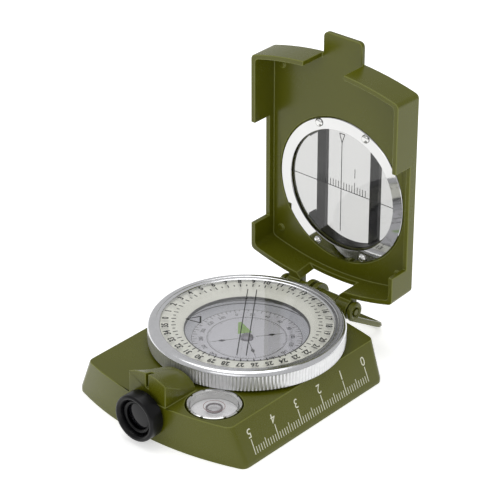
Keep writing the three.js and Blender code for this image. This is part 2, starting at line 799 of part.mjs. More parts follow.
compass.add(named("base_body", geometryOf(baseBody()), paint));
compass.add(named("underside_plate", geometryOf(undersidePlate()), paint));
bossAt.forEach(([x, y], i) => compass.add(named(`plate_screw_${i + 1}`, plateScrew(x, y), steel)));
compass.add(named("hinge_pin", rod(PIN_R, -pinEnd, pinEnd, 24), steel));
compass.add(named("capsule_cup", capsuleCup(), brass));
compass.add(named("capsule_seal", capsuleSeal(), rubber));
compass.add(named("capsule_glass", capsuleGlass(), clear));
compass.add(named("pivot_post", pivotPost(), steel));
compass.add(named("bezel_retaining_ring", bezelRetainingRing(), brass));
compass.add(named("level_case", levelCase(), brightMetal));
compass.add(named("level_vial", levelVial(), clear));
compass.add(named("sight_prism", sightPrism(), clear));
compass.add(named("prism_holder", geometryOf(prismHolder()), brass));

compass.add(named("bezel_ring", bezelRing(), brightMetal));
compass.add(named("degree_ring", degreeRing(), { color: 0xd7dac8, roughness: 0.5, metalness: 0 }));
compass.add(named("bezel_glass", bezelGlass(), clear));

compass.add(named("compass_card", compassCard(), { color: 0xbebec8, roughness: 0.5, metalness: 0 }));
compass.add(named("card_hub", cardHub(), brass));
compass.add(named("needle_magnet", needleMagnet(), steel));

compass.add(named("eyepiece_barrel", eyepieceBarrel(), blackPlastic));
compass.add(named("eyepiece_lens", eyepieceLens(), clear));
compass.add(named("lens_retainer", lensRetainer(), blackPlastic));

const lid = new THREE.Group();
lid.position.set(0, hinge.y, hinge.z);
lid.rotation.x = THREE.MathUtils.degToRad(-LID_OPEN);
compass.add(lid);
const lidParts = [
  named("lid_shell", geometryOf(lidShell()), paint),
  named("mirror_ring", geometryOf(mirrorRing()), brightMetal),
  named("window_disc", windowDisc(), clear),
  named("sight_frame", geometryOf(sightFrame()), blackPlastic),
];
screwAt.forEach(([x, y], i) => lidParts.push(named(`window_screw_${i + 1}`, windowScrew(x, y), steel)));
for (const part of lidParts) {
  part.position.set(0, -hinge.y, -hinge.z);
  lid.add(part);
}

compass.add(named("thumb_loop", geometryOf(thumbLoop()), paint));

export default compass;
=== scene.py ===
"""A folding sighting compass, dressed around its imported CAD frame. Lengths below are in
millimetres unless a name says otherwise, and become metres as each mesh is made."""

import math

import bmesh
import bpy
from mathutils import Euler, Matrix, Vector


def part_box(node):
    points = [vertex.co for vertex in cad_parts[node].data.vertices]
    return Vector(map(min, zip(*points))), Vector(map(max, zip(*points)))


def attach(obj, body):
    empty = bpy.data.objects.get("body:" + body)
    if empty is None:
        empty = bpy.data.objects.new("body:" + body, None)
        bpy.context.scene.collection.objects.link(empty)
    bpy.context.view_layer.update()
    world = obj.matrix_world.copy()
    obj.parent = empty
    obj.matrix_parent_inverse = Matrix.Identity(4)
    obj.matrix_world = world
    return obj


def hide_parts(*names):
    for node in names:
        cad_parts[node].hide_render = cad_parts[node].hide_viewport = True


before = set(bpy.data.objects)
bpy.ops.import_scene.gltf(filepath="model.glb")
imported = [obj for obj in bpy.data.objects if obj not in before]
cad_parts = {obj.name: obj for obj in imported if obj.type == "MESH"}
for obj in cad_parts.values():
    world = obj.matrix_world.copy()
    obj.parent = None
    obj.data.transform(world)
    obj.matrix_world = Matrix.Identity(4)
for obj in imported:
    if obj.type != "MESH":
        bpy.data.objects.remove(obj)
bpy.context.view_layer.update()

# ---- Base casting ----------------------------------------------------------------------
# The base is one zinc die casting: a sloped box with a collar for the capsule, a housing
# over the eyepiece and a hinge barrel. It is sprayed with a satin olive powder coat, which
# rounds every edge a little and leaves a faint orange-peel skin. The rounded edges are
# painted a lighter olive, a painted highlight where the gloss catches the light.

MM = 0.001


def srgb(red, green, blue):
    """A colour from its usual 0 to 255 values, as the linear light a shader wants."""
    parts = [c / 255 for c in (red, green, blue)]
    return tuple(c / 12.92 if c < 0.04 else ((c + 0.055) / 1.055) ** 2.4 for c in parts)


class Wire:
    """One value running through a finish. Sums written with it become Math nodes."""

    def __init__(self, finish, socket):
        self.finish, self.socket = finish, socket

    def sum(self, operation, *values):
        return self.finish.node(
            "ShaderNodeMath", {"operation": operation}, dict(enumerate(values))
        )

    def __add__(self, other):
        return self.sum("ADD", self, other)

    def __radd__(self, other):
        return self.sum("ADD", other, self)

    def __sub__(self, other):
        return self.sum("SUBTRACT", self, other)

    def __rsub__(self, other):
        return self.sum("SUBTRACT", other, self)

    def __mul__(self, other):
        return self.sum("MULTIPLY", self, other)

    def __rmul__(self, other):
        return self.sum("MULTIPLY", other, self)

    def __pow__(self, other):
        return self.sum("POWER", self, other)

    def sine(self):
        return self.sum("SINE", self)


class Finish:
    """A surface finish: a material with one shader, and a method for every other node."""

    def __init__(self, name):
        self.material = bpy.data.materials.new(name)
        self.material.use_nodes = True
        self.tree = self.material.node_tree
        self.tree.nodes.clear()
        self.output = self.tree.nodes.new("ShaderNodeOutputMaterial")

    def feed(self, socket, value):
        """Links a wire to a socket, or sets a plain value on it."""
        if isinstance(value, Wire):
            self.tree.links.new(value.socket, socket)
        elif socket.type == "RGBA" and len(value) == 3:
            socket.default_value = (*value, 1)
        else:
            socket.default_value = value

    def node(self, kind, settings, sockets, out=0):
        """Adds a node of a kind. Its settings come first, then its sockets."""
        made = self.tree.nodes.new(kind)
        for key, value in settings.items():
            setattr(made, key, value)
        for key, value in sockets.items():
            self.feed(made.inputs[key], value)
        return Wire(self, made.outputs[out])

    def place(self):
        return self.node("ShaderNodeTexCoord", {}, {}, "Object")

    def noise(self, scale, detail=2.0, stretch=None):
        """Noise with so many grains to the metre, drawn out along an axis if stretched."""
        where = self.place()
        if stretch:
            where = self.node(
                "ShaderNodeVectorMath", {"operation": "MULTIPLY"}, {0: where, 1: stretch}
            )
        settings = {"noise_dimensions": "3D"}
        sockets = {"Vector": where, "Scale": scale, "Detail": detail}
        return self.node("ShaderNodeTexNoise", settings, sockets)

    def radius(self):
        """Distance from the dial's upright axis, in metres."""
        flat = self.node(
            "ShaderNodeVectorMath", {"operation": "MULTIPLY"}, {0: self.place(), 1: (1, 1, 0)}
        )
        return self.node("ShaderNodeVectorMath", {"operation": "LENGTH"}, {0: flat}, 1)

    def blend(self, factor, first, second):
        settings = {"data_type": "RGBA", "blend_type": "MIX"}
        return self.node("ShaderNodeMix", settings, {0: factor, 6: first, 7: second}, 2)

    def bump(self, height, depth):
        return self.node("ShaderNodeBump", {}, {"Height": height, "Distance": depth * MM})

    def surface(self, **sockets):
        """The finish's one Principled shader, fed to the output."""
        named = {key.replace("_", " "): value for key, value in sockets.items()}
        shader = self.node("ShaderNodeBsdfPrincipled", {}, named)
        self.feed(self.output.inputs["Surface"], shader)
        return self


def powder_coat(name, dark, light):
    finish = Finish(name)
    drift = finish.noise(55, 3)
    peel = finish.noise(1500, 2)
    fleck = finish.noise(5200, 1)
    return finish.surface(
        Base_Color=finish.blend(drift, dark, light),
        Roughness=0.2 + drift * 0.08 + fleck * 0.05,
        Specular_IOR_Level=0.32,
        Normal=finish.bump(peel * 0.8 + fleck * 0.2, 0.01),
    )


olive = powder_coat("olive_powder_coat", srgb(80, 82, 9), srgb(88, 90, 13))
# A lighter olive for the rounded edges: a painted highlight where the gloss catches the light.
olive_edge_painted_highlight = powder_coat("olive_painted_edge_highlight", srgb(104, 107, 42), srgb(116, 119, 54))


def link(piece):
    bpy.context.scene.collection.objects.link(piece)
    return piece


def dress(piece, finish, body, slot, *stands_for):
    """Gives a piece its finish, the body it moves with and the CAD nodes it stands for."""
    if len(piece.data.materials):
        piece.data.materials[0] = finish.material
    else:
        piece.data.materials.append(finish.material)
    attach(piece, body)
    if stands_for:
        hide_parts(*stands_for)


def smooth(mesh, crease=32):
    for face in mesh.polygons:
        face.use_smooth = True
    mesh.set_sharp_from_angle(angle=math.radians(crease))


def settle(piece):
    """Works a piece's modifiers into its mesh."""
    bpy.context.view_layer.update()
    done = piece.evaluated_get(bpy.context.evaluated_depsgraph_get())
    piece.data = bpy.data.meshes.new_from_object(done)
    piece.modifiers.clear()


def softened(name, node, radius, crease=30, edge=None):
    """A CAD node's shape with its edges rounded. Given an edge finish, such as the painted edge
    highlight, the rounding keeps its full width and takes that finish. Otherwise the flat
    faces are made whole first."""
    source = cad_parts[node].data
    mesh = bpy.data.meshes.new(name)
    mesh.from_pydata(
        [v.co[:] for v in source.vertices], [], [f.vertices[:] for f in source.polygons]
    )
    shape = bmesh.new()
    shape.from_mesh(mesh)
    bmesh.ops.remove_doubles(shape, verts=shape.verts, dist=0.002 * MM)
    if not edge:
        bmesh.ops.dissolve_limit(
            shape, angle_limit=math.radians(0.8), verts=shape.verts, edges=shape.edges
        )
    shape.to_mesh(mesh)
    shape.free()
    piece = link(bpy.data.objects.new(name, mesh))
    rounding = piece.modifiers.new("edges", "BEVEL")
    rounding.width, rounding.segments = radius * MM, 3
    rounding.limit_method, rounding.angle_limit = "ANGLE", math.radians(crease)
    rounding.use_clamp_overlap = rounding.loop_slide = not edge
    if edge:  # the first slot waits for the piece's own finish
        mesh.materials.append(edge.material)
        mesh.materials.append(edge.material)
        rounding.material = 1
    settle(piece)
    smooth(piece.data, 40)
    piece.modifiers.new("flats", "WEIGHTED_NORMAL").keep_sharp = True
    settle(piece)
    return piece


# Its rounded edges take the lighter olive, a painted highlight.
base_casting = softened("base_casting", "base_body", 0.2, edge=olive_edge_painted_highlight)
dress(base_casting, olive, "base", "olive_paint", "base_body")

# ---- Ruler -----------------------------------------------------------------------------
# A five-centimetre rule is pad-printed on the right-hand slope in off-white ink: a tick
# every millimetre, longer at the fives, and a figure over each centimetre.

ink_finish = {}


def ink(name, colour, roughness=0.5):
    """Printing ink, a little patchy."""
    if name not in ink_finish:
        finish = Finish(name)
        patch = finish.noise(900, 2)
        darker = tuple(c * 0.86 for c in colour)
        ink_finish[name] = finish.surface(
            Base_Color=finish.blend(patch, darker, colour),
            Roughness=roughness + patch * 0.12,
            Normal=finish.bump(patch, 0.004),
        )
    return ink_finish[name]


class Print:
    """Ink on a flat face: bars, outlines and figures in one thin mesh."""

    THICK, SUNK = 0.03, -0.005  # its top and its foot, above the face

    def __init__(self, origin, right, up):
        self.origin, self.right, self.up = Vector(origin), Vector(right), Vector(up)
        self.out = self.right.cross(self.up)
        self.points, self.faces = [], []

    def prism(self, outline):
        """A thin slab over an outline given anticlockwise."""
        n, first = len(outline), len(self.points)
        for lift in (self.SUNK, self.THICK):
            for x, y in outline:
                at = self.origin + self.right * x + self.up * y + self.out * lift
                self.points.append(at)
        low, high = range(first, first + n), range(first + n, first + 2 * n)
        self.faces += [tuple(reversed(low)), tuple(high)]
        for i in range(n):
            j = (i + 1) % n
            self.faces.append((low[i], low[j], high[j], high[i]))

    def bar(self, start, end, width):
        run = Vector(end) - Vector(start)
        side = Vector((-run.y, run.x)).normalized() * width / 2
        a, b = Vector(start), Vector(end)
        self.prism([a - side, b - side, b + side, a + side])

    def tick(self, angle, inner, outer, width):
        """A bar along a radius, at an angle in degrees."""
        way = Vector((math.cos(math.radians(angle)), math.sin(math.radians(angle))))
        self.bar(way * inner, way * outer, width)

    def band(self, radius, width, steps=72):
        """A thin ring round the origin."""
        first = len(self.points)
        for k in range(steps):
            turn = 2 * math.pi * k / steps
            for r, lift in (
                (radius - width / 2, self.SUNK),
                (radius + width / 2, self.SUNK),
                (radius + width / 2, self.THICK),
                (radius - width / 2, self.THICK),
            ):
                flat = self.right * r * math.cos(turn) + self.up * r * math.sin(turn)
                self.points.append(self.origin + flat + self.out * lift)
        for k in range(steps):
            a, b = first + 4 * k, first + 4 * ((k + 1) % steps)
            for i in range(4):
                j = (i + 1) % 4
                self.faces.append((a + i, b + i, b + j, a + j))

    def figure(self, text, height, x, y, angle=0.0, squeeze=1.0, weight=0.0):
        """A figure or letter, centred, its top towards the angle above the right-hand way."""
        curve = bpy.data.curves.new("figure", "FONT")
        curve.body, curve.offset, curve.resolution_u, curve.extrude = text, weight, 3, 0.5
        letter = link(bpy.data.objects.new("figure", curve))
        bpy.context.view_layer.update()
        done = letter.evaluated_get(bpy.context.evaluated_depsgraph_get())
        mesh = bpy.data.meshes.new_from_object(done)
        xs, ys = [v.co.x for v in mesh.vertices], [v.co.y for v in mesh.vertices]
        centre = Vector(((min(xs) + max(xs)) / 2, (min(ys) + max(ys)) / 2))
        scale = height / (max(ys) - min(ys))
        turn = Matrix.Rotation(math.radians(angle), 2)
        first = len(self.points)
        for v in mesh.vertices:
            flat = turn @ Vector(((v.co.x - centre.x) * squeeze, v.co.y - centre.y)) * scale
            lift = self.THICK if v.co.z > 0 else self.SUNK
            flat_x, flat_y = x + flat.x, y + flat.y
            at = self.origin + self.right * flat_x + self.up * flat_y + self.out * lift
            self.points.append(at)
        self.faces += [tuple(first + i for i in f.vertices) for f in mesh.polygons]
        bpy.data.objects.remove(letter)
        bpy.data.curves.remove(curve)
        bpy.data.meshes.remove(mesh)

    def piece(self, name):
        mesh = bpy.data.meshes.new(name)
        mesh.from_pydata([p * MM for p in self.points], [], self.faces)
        mesh.update()
        return link(bpy.data.objects.new(name, mesh))


SLOPE_FOOT, SLOPE_TOP = Vector((31.45, 0, 1.5)), Vector((26.8, 0, 12.1))
up_slope = (SLOPE_TOP - SLOPE_FOOT).normalized()
RULE_ZERO = 17.95  # where the rule starts, near the hinge
RULE_BASE = 1.15  # its foot line, up the slope
rule = Print(SLOPE_FOOT + up_slope * RULE_BASE, (0, 1, 0), up_slope)
CM_TICK, HALF_TICK, MM_TICK = 4.55, 2.85, 2.0
RULE_FIGURE_H, RULE_FIGURE_UP = 2.7, 6.3
for mm in range(51):
    length = CM_TICK if mm % 10 == 0 else HALF_TICK if mm % 5 == 0 else MM_TICK
    rule.bar((RULE_ZERO - mm, 0), (RULE_ZERO - mm, length), 0.28 if mm % 10 == 0 else 0.22)
for cm in range(6):
    rule.figure(str(cm), RULE_FIGURE_H, RULE_ZERO - 10 * cm, RULE_FIGURE_UP, 180, 0.95)
dress(rule.piece("ruler_print"), ink("rule_ink", srgb(222, 222, 200)), "base", "olive_paint")

# ---- Underside plate and its screws ----------------------------------------------------
# A stamped plate closes the base from below, in the same olive paint. Four plated pan-head
# screws with cross recesses hold it, sunk into counterbores.

dress(
    softened("bottom_plate", "underside_plate", 0.15),
    olive,
    "base",
    "olive_paint",
    "underside_plate",
)


def plated(name, colour, roughness=0.22, wear=0.12):
    """Turned or plated metal, with the fine unevenness of a tumbled part."""
    finish = Finish(name)
    cloud = finish.noise(420, 3)
    scuff = finish.noise(1800, 2, (1, 0.25, 1))
    dull = tuple(c * 0.82 for c in colour)
    return finish.surface(
        Base_Color=finish.blend(cloud, dull, colour),
        Metallic=1.0,
        Roughness=roughness + cloud * wear,
        Normal=finish.bump(scuff, 0.003),
    )


steel = plated("zinc_plated_steel", srgb(205, 206, 206))


def turned(name, profile, sides=96, centre=(0, 0), crease=32, dent=None):
    """A lathe piece on an upright axis, from a closed profile of radii and heights.
    dent(step, radius, height) says how far to draw a point in, for flutes and notches."""
    points, faces = [], []
    n = len(profile)
    for k in range(sides):
        turn = 2 * math.pi * k / sides
        for r, z in profile:
            if dent:
                r -= dent(k, r, z)
            x, y = centre[0] + r * math.cos(turn), centre[1] + r * math.sin(turn)
            points.append(Vector((x, y, z)) * MM)
    for k in range(sides):
        a, b = n * k, n * ((k + 1) % sides)
        for i in range(n):
            j = (i + 1) % n
            faces.append((a + i, b + i, b + j, a + j))
    mesh = bpy.data.meshes.new(name)
    mesh.from_pydata(points, [], faces)
    shape = bmesh.new()
    shape.from_mesh(mesh)
    bmesh.ops.remove_doubles(shape, verts=shape.verts, dist=0.0005 * MM)
    bmesh.ops.dissolve_degenerate(shape, edges=shape.edges, dist=0.0005 * MM)
    bmesh.ops.recalc_face_normals(shape, faces=shape.faces)
    shape.to_mesh(mesh)
    shape.free()
    smooth(mesh, crease)
    return link(bpy.data.objects.new(name, mesh))


def middle(node):
    """The middle of a CAD node, in millimetres."""
    low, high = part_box(node)
    return (low + high) / 2 / MM


def cross_recess(piece, x, y, z, reach, depth):
    """Cuts a driver's cross into a screw head from below."""
    cutter = bmesh.new()
    for turn in (45, 135):
        arm = bmesh.ops.create_cube(cutter, size=1)["verts"]
        size = Matrix.Diagonal((2 * reach, 0.34, 2 * depth, 1))
        spin = Matrix.Rotation(math.radians(turn), 4, "Z")
        at = Matrix.Translation((x, y, z))
        bmesh.ops.transform(cutter, matrix=Matrix.Scale(MM, 4) @ at @ spin @ size, verts=arm)
    mesh = bpy.data.meshes.new("cross")
    cutter.to_mesh(mesh)
    cutter.free()
    cross = link(bpy.data.objects.new("cross", mesh))
    cut = piece.modifiers.new("cross", "BOOLEAN")
    cut.object, cut.operation, cut.solver, cut.use_self = cross, "DIFFERENCE", "EXACT", True
    settle(piece)
    bpy.data.objects.remove(cross)
    smooth(piece.data)


for number in range(1, 5):
    at = middle(f"plate_screw_{number}")
    head = [(0, 0.1), (0.8, 0.12), (1.2, 0.2), (1.42, 0.36), (1.5, 0.55), (1.5, 0.7)]
    shank = [(0.7, 0.7), (0.7, 7.1), (0, 7.7)]
    screw = turned(f"base_screw_{number}", head + shank, 40, at[:2])
    cross_recess(screw, at.x, at.y, 0.1, 0.8, 0.35)
    dress(screw, steel, "base", "steel", f"plate_screw_{number}")

# ---- Hinge pin -------------------------------------------------------------------------
# A plain steel rod through the base's barrel and the lid's lugs, painted over with them. The
# thumb loop's two eyes hang on its ends.

dress(softened("hinge_rod", "hinge_pin", 0.15), olive, "base", "steel", "hinge_pin")

# ---- Capsule ---------------------------------------------------------------------------
# A white-lined cup closed by a small window holds the floating card. A black rubber ring
# seals the window, two grey lines run round the cup's wall, and a flat brass ring keeps the
# bezel down on its collar.


def recoat(node, finish):
    """A CAD node that keeps its shape takes a finish."""
    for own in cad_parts[node].material_slots:
        own.material = finish.material


def lacquered(name, colour, roughness=0.35, **more):
    finish = Finish(name)
    cloud = finish.noise(260, 3)
    grain = finish.noise(2600, 1)
    shade = tuple(c * 0.9 for c in colour)
    return finish.surface(
        Base_Color=finish.blend(cloud, shade, colour),
        Roughness=roughness + grain * 0.12,
        Normal=finish.bump(grain, 0.004),
        **more,
    )


def clear_pane(name, tint=(0.98, 0.98, 0.98), roughness=0.015):
    """A clear window: it passes light straight through and mirrors at a glancing angle."""
    finish = Finish(name)
    smear = finish.noise(90, 2)
    through = finish.node("ShaderNodeBsdfTransparent", {}, {"Color": tint})
    face = {"Color": (1, 1, 1), "Roughness": roughness + smear * 0.02}
    mirror = finish.node("ShaderNodeBsdfGlossy", {}, face)
    facing = finish.node("ShaderNodeLayerWeight", {}, {"Blend": 0.5}, "Facing")
    share = facing**5 * 0.96 + 0.04
    both = finish.node("ShaderNodeMixShader", {}, {0: share, 1: through, 2: mirror})
    finish.feed(finish.output.inputs["Surface"], both)
    return finish


brass = plated("brass", srgb(201, 170, 106), 0.25)
# A faint white glow, painted light that brightens the pale parts in the capsule, under the crystal and
# in the level.
painted_glow = {"Emission_Color": (1, 1, 1), "Emission_Strength": 0.12}
capsule_lining = lacquered("capsule_lining", srgb(226, 227, 234), 0.3, **painted_glow)
pane = clear_pane("clear_acrylic")
rubber = lacquered("black_rubber", srgb(24, 24, 25), 0.6)
recoat("capsule_cup", capsule_lining)
CUP_BORE, LINE_IN, LINE_H = 21.0, 0.12, 0.2
line_grey = lacquered("cup_line_grey", srgb(120, 120, 128))
for number, z in ((1, 13.35), (2, 12.35)):
    inner, top = CUP_BORE - LINE_IN, z + LINE_H
    mark = turned(f"cup_line_{number}", [(inner, z), (CUP_BORE, z), (CUP_BORE, top), (inner, top)], 120)
    dress(mark, line_grey, "base", "dial_white")
recoat("capsule_seal", rubber)
recoat("capsule_glass", pane)
recoat("pivot_post", steel)
recoat("bezel_retaining_ring", brass)

# ---- Compass card ----------------------------------------------------------------------
# A pale plastic disc turns on a grey metal hub over a ring magnet. It is printed with a
# degree scale, figures and a cross of fine lines with lozenges, and its north arrow is
# luminous green.

NORTH = 144.0  # where the card points, as an angle from the X axis
TEN_TICK, FIVE_TICK, SCALE_LINE = 1.7, 1.0, 0.16
FIGURE_IN, FIGURE_H = 2.9, 1.25  # the degree figures, in from the card's edge
INNER_IN, INNER_STEPS = 4.6, 96  # the inner scale, in from the card's edge
CROSS_FROM, CROSS_TO = 2.6, 10.4
LOZENGE_FROM, LOZENGE_MIDDLE, LOZENGE_TO, LOZENGE_HALF = 6.0, 7.4, 8.8, 0.6
ARROW_TO, ARROW_TAIL, ARROW_TIP = 9.0, 2.1, 0.5
CARD_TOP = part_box("compass_card")[1].z / MM
CARD_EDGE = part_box("compass_card")[1].x / MM
# The card carries the same faint painted glow.
card_face = lacquered("card_plastic", srgb(210, 209, 219), 0.4, **painted_glow)
recoat("compass_card", card_face)
recoat("card_hub", plated("hub_metal", srgb(156, 152, 164), 0.3))
recoat("needle_magnet", plated("magnet_steel", srgb(120, 120, 124), 0.4))
card = Print((0, 0, CARD_TOP), (1, 0, 0), (0, 1, 0))


def bearing(angle):
    """The way out at an angle in degrees, and the way across it to the left."""
    turn = math.radians(angle)
    way = Vector((math.cos(turn), math.sin(turn)))
    return way, Vector((-way.y, way.x))


for step in range(72):
    angle = NORTH - 5 * step
    inner = CARD_EDGE - (TEN_TICK if step % 2 == 0 else FIVE_TICK)
    card.tick(angle, inner, CARD_EDGE - 0.25, SCALE_LINE)
    if step % 4 == 0:
        x, y = bearing(angle)[0] * (CARD_EDGE - FIGURE_IN)
        card.figure(str(5 * step), FIGURE_H, x, y, angle - 90, 0.85)
card.band(CARD_EDGE - 0.2, 0.12)
card.band(CARD_EDGE - INNER_IN, 0.09)
for step in range(INNER_STEPS):
    inner = CARD_EDGE - INNER_IN - (1.0 if step % 8 == 0 else 0.5)
    card.tick(NORTH - 360 / INNER_STEPS * step, inner, CARD_EDGE - INNER_IN, 0.1)
for quarter in (90, 180, 270):
    way, side = bearing(NORTH - quarter)
    card.bar(way * CROSS_FROM, way * CROSS_TO, SCALE_LINE)
    waist, half = way * LOZENGE_MIDDLE, side * LOZENGE_HALF
    card.prism([way * LOZENGE_FROM, waist - half, way * LOZENGE_TO, waist + half])
dress(card.piece("card_print"), ink("card_ink", srgb(46, 44, 58)), "card", "card_white")
arrow = Print((0, 0, CARD_TOP), (1, 0, 0), (0, 1, 0))
way, side = bearing(NORTH)
tail, tip = way * CROSS_FROM, way * ARROW_TO
arrow.prism(
    [tail - side * ARROW_TAIL, tip - side * ARROW_TIP, tip + side * ARROW_TIP, tail + side * ARROW_TAIL]
)
lume_green = ink("green_lume", srgb(158, 205, 92), 0.6)
dress(arrow.piece("north_arrow"), lume_green, "card", "card_white")

# ---- Bezel -----------------------------------------------------------------------------
# The turning bezel is turned from aluminium: a polished round shoulder over a band of
# straight flutes, which the thumb pushes. It turns freely on the base's collar.

BEZEL_LOW, BEZEL_HIGH = (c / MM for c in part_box("bezel_ring"))
RIM_R, FOOT_Z, RIM_Z = BEZEL_HIGH.x, BEZEL_LOW.z, BEZEL_HIGH.z
BORE_R, COLLAR_R, LIP_Z = 25.1, 24.3, 14.5  # inside the rim, inside the foot, and the step
BAND_TOP = RIM_Z - 1.15
FLUTES, FLUTE_STEPS, FLUTE_DEEP = 168, 6, 0.32
FLUTE_SHAPE = (0.0, 0.12, 0.62, 1.0, 0.62, 0.12)  # across one flute, as a share of its depth


def flute(k, r, z):
    """How far a flute draws the band in."""
    if r < RIM_R - 0.3 or not FOOT_Z + 0.3 < z < BAND_TOP - 0.15:
        return 0.0
    return FLUTE_DEEP * FLUTE_SHAPE[k % FLUTE_STEPS]


rim = [
    (COLLAR_R, FOOT_Z),
    (RIM_R - 0.7, FOOT_Z),
    (RIM_R - 0.7, BAND_TOP - 0.1),
    (RIM_R - 0.04, BAND_TOP),
    (RIM_R, RIM_Z - 1.1),
    (RIM_R - 0.12, RIM_Z - 0.8),
    (RIM_R - 0.33, RIM_Z - 0.5),
    (RIM_R - 0.62, RIM_Z - 0.27),
    (RIM_R - 1.0, RIM_Z - 0.1),
    (RIM_R - 1.45, RIM_Z - 0.01),
    (RIM_R - 1.9, RIM_Z),
    (RIM_R - 2.3, RIM_Z - 0.05),
    (RIM_R - 2.42, RIM_Z - 0.16),
    (BORE_R + 0.55, RIM_Z - 0.2),
    (BORE_R + 0.2, RIM_Z - 0.27),
    (BORE_R, RIM_Z - 0.45),
    (BORE_R, LIP_Z),
    (COLLAR_R, LIP_Z),
]
band = [
    (RIM_R - 0.68, FOOT_Z + 0.02),
    (RIM_R - 0.4, FOOT_Z + 0.06),
    (RIM_R - 0.12, FOOT_Z + 0.25),
    (RIM_R, FOOT_Z + 0.45),
    (RIM_R, FOOT_Z + 2.4),
    (RIM_R, BAND_TOP - 0.25),
    (RIM_R - 0.05, BAND_TOP - 0.05),
    (RIM_R - 0.68, BAND_TOP - 0.12),
]
aluminium = Finish("turned_aluminium")
lathe_marks = (aluminium.radius() * 52000).sine()
brushing = aluminium.noise(500, 3)
aluminium.surface(
    Base_Color=aluminium.blend(brushing, srgb(206, 207, 210), srgb(224, 224, 226)),
    Metallic=1.0,
    Roughness=0.15 + brushing * 0.08,
    Normal=aluminium.bump(lathe_marks, 0.0006),
)
bezel = turned("bezel_rim", rim, 240, crease=38)
dress(bezel, aluminium, "bezel", "bright_metal", "bezel_ring")
grip_metal = Finish("fluted_aluminium")
tumbled = grip_metal.noise(900, 3)
grip_metal.surface(
    Base_Color=grip_metal.blend(tumbled, srgb(206, 207, 208), srgb(232, 232, 233)),
    Metallic=0.72,
    Roughness=0.3 + tumbled * 0.1,
    Normal=grip_metal.bump(tumbled, 0.002),
)
grip = turned("bezel_grip", band, FLUTES * FLUTE_STEPS, crease=38, dent=flute)
dress(grip, grip_metal, "bezel", "bright_metal")

# The numbered ring under the crystal is off-white luminous plastic, given a faint painted
# glow, and a grey band closing its opening is painted shade, where the ring's inner edge lies
# in shadow. The crystal over it carries all the print: tens of degrees from 0 to 35, a tick
# for every five, two course lines and a hollow arrow.

SCALE_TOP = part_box("degree_ring")[1].z / MM
SCALE_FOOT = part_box("degree_ring")[0].z / MM
SCALE_IN = 18.25
CRYSTAL_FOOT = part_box("bezel_glass")[0].z / MM
# Off-white plastic that carries the faint painted glow.
ring_plastic_painted_glow = Finish("ring_plastic_with_painted_glow")
glow = ring_plastic_painted_glow.noise(300, 3)
ring_plastic_painted_glow.surface(
    Base_Color=ring_plastic_painted_glow.blend(glow, srgb(211, 211, 198), srgb(223, 223, 212)),
    Roughness=0.42 + glow * 0.1,
    **painted_glow,
    Normal=ring_plastic_painted_glow.bump(glow, 0.006),
)
scale_profile = [
    (SCALE_IN, SCALE_FOOT),
    (BORE_R - 0.04, SCALE_FOOT),
    (BORE_R - 0.04, CRYSTAL_FOOT - 0.1),
    (21.9, CRYSTAL_FOOT - 0.1),
    (21.6, CRYSTAL_FOOT - 0.14),
    (SCALE_IN + 0.1, SCALE_TOP),
    (SCALE_IN, SCALE_TOP - 0.1),
]
number_ring = turned("number_ring", scale_profile, 144, crease=50)
dress(number_ring, ring_plastic_painted_glow, "bezel", "dial_white", "degree_ring")
# A grey band at the ring's inner edge: painted shade where that edge lies in shadow.
shade_band = turned(
    "scale_painted_shade_band",
    [
        (SCALE_IN - 0.35, SCALE_FOOT),
        (SCALE_IN - 0.02, SCALE_FOOT),
        (SCALE_IN - 0.02, SCALE_TOP + 0.05),
        (SCALE_IN - 0.22, SCALE_TOP + 0.05),
    ],
    144,
)
dress(shade_band, plated("painted_shade_grey", srgb(112, 113, 114), 0.3), "bezel", "dial_white")
recoat("bezel_glass", pane)
CRYSTAL_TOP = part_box("bezel_glass")[1].z / MM
ZERO_AT = 216.0  # where the bezel's nought stands, as an angle from the X axis
NUMERAL_R, NUMERAL_H = 23.65, 2.05
TEN_TICKS, FIVE_TICKS = (20.5, 21.9, 0.32), (20.85, 21.65, 0.34)  # from, to and width
COURSE_WAY, COURSE_APART = 126, 1.32
COURSE_BACK, COURSE_AHEAD, COURSE_LINE = 18.6, 18.9, 0.27
POINTER_TIP, POINTER_HALF = 17.7, 1.85
POINTER_LEFT, POINTER_RIGHT = 13.3, 13.6  # how far out its two feet stand
bezel_print = Print((0, 0, CRYSTAL_TOP), (1, 0, 0), (0, 1, 0))
for tens in range(36):
    angle = ZERO_AT - 10 * tens
    x, y = bearing(angle)[0] * NUMERAL_R
    bezel_print.figure(str(tens), NUMERAL_H, x, y, angle - 90, 0.85, 0.03)
    bezel_print.tick(angle, *TEN_TICKS)
    bezel_print.tick(angle - 5, *FIVE_TICKS)
along, across = bearing(COURSE_WAY)
for shift in (-COURSE_APART, COURSE_APART):
    start, end = across * shift - along * COURSE_BACK, across * shift + along * COURSE_AHEAD
    bezel_print.bar(start, end, COURSE_LINE)
point, wing = bearing(ZERO_AT)
left = point * POINTER_LEFT + wing * POINTER_HALF
right = point * POINTER_RIGHT - wing * POINTER_HALF
corners = [point * POINTER_TIP, left, right]
for a, b, width in zip(corners, corners[1:] + corners[:1], (0.34, 0.5, 0.34)):
    bezel_print.bar(a, b, width)
dress(bezel_print.piece("crystal_print"), ink("black_ink", srgb(34, 36, 34)), "bezel", "clear")

# ---- Bubble level ----------------------------------------------------------------------
# A bull's-eye level sits in a pocket of the base: a polished metal cup with a notched rim
# and a white floor, and under its flat clear window a red ring and one air bubble.

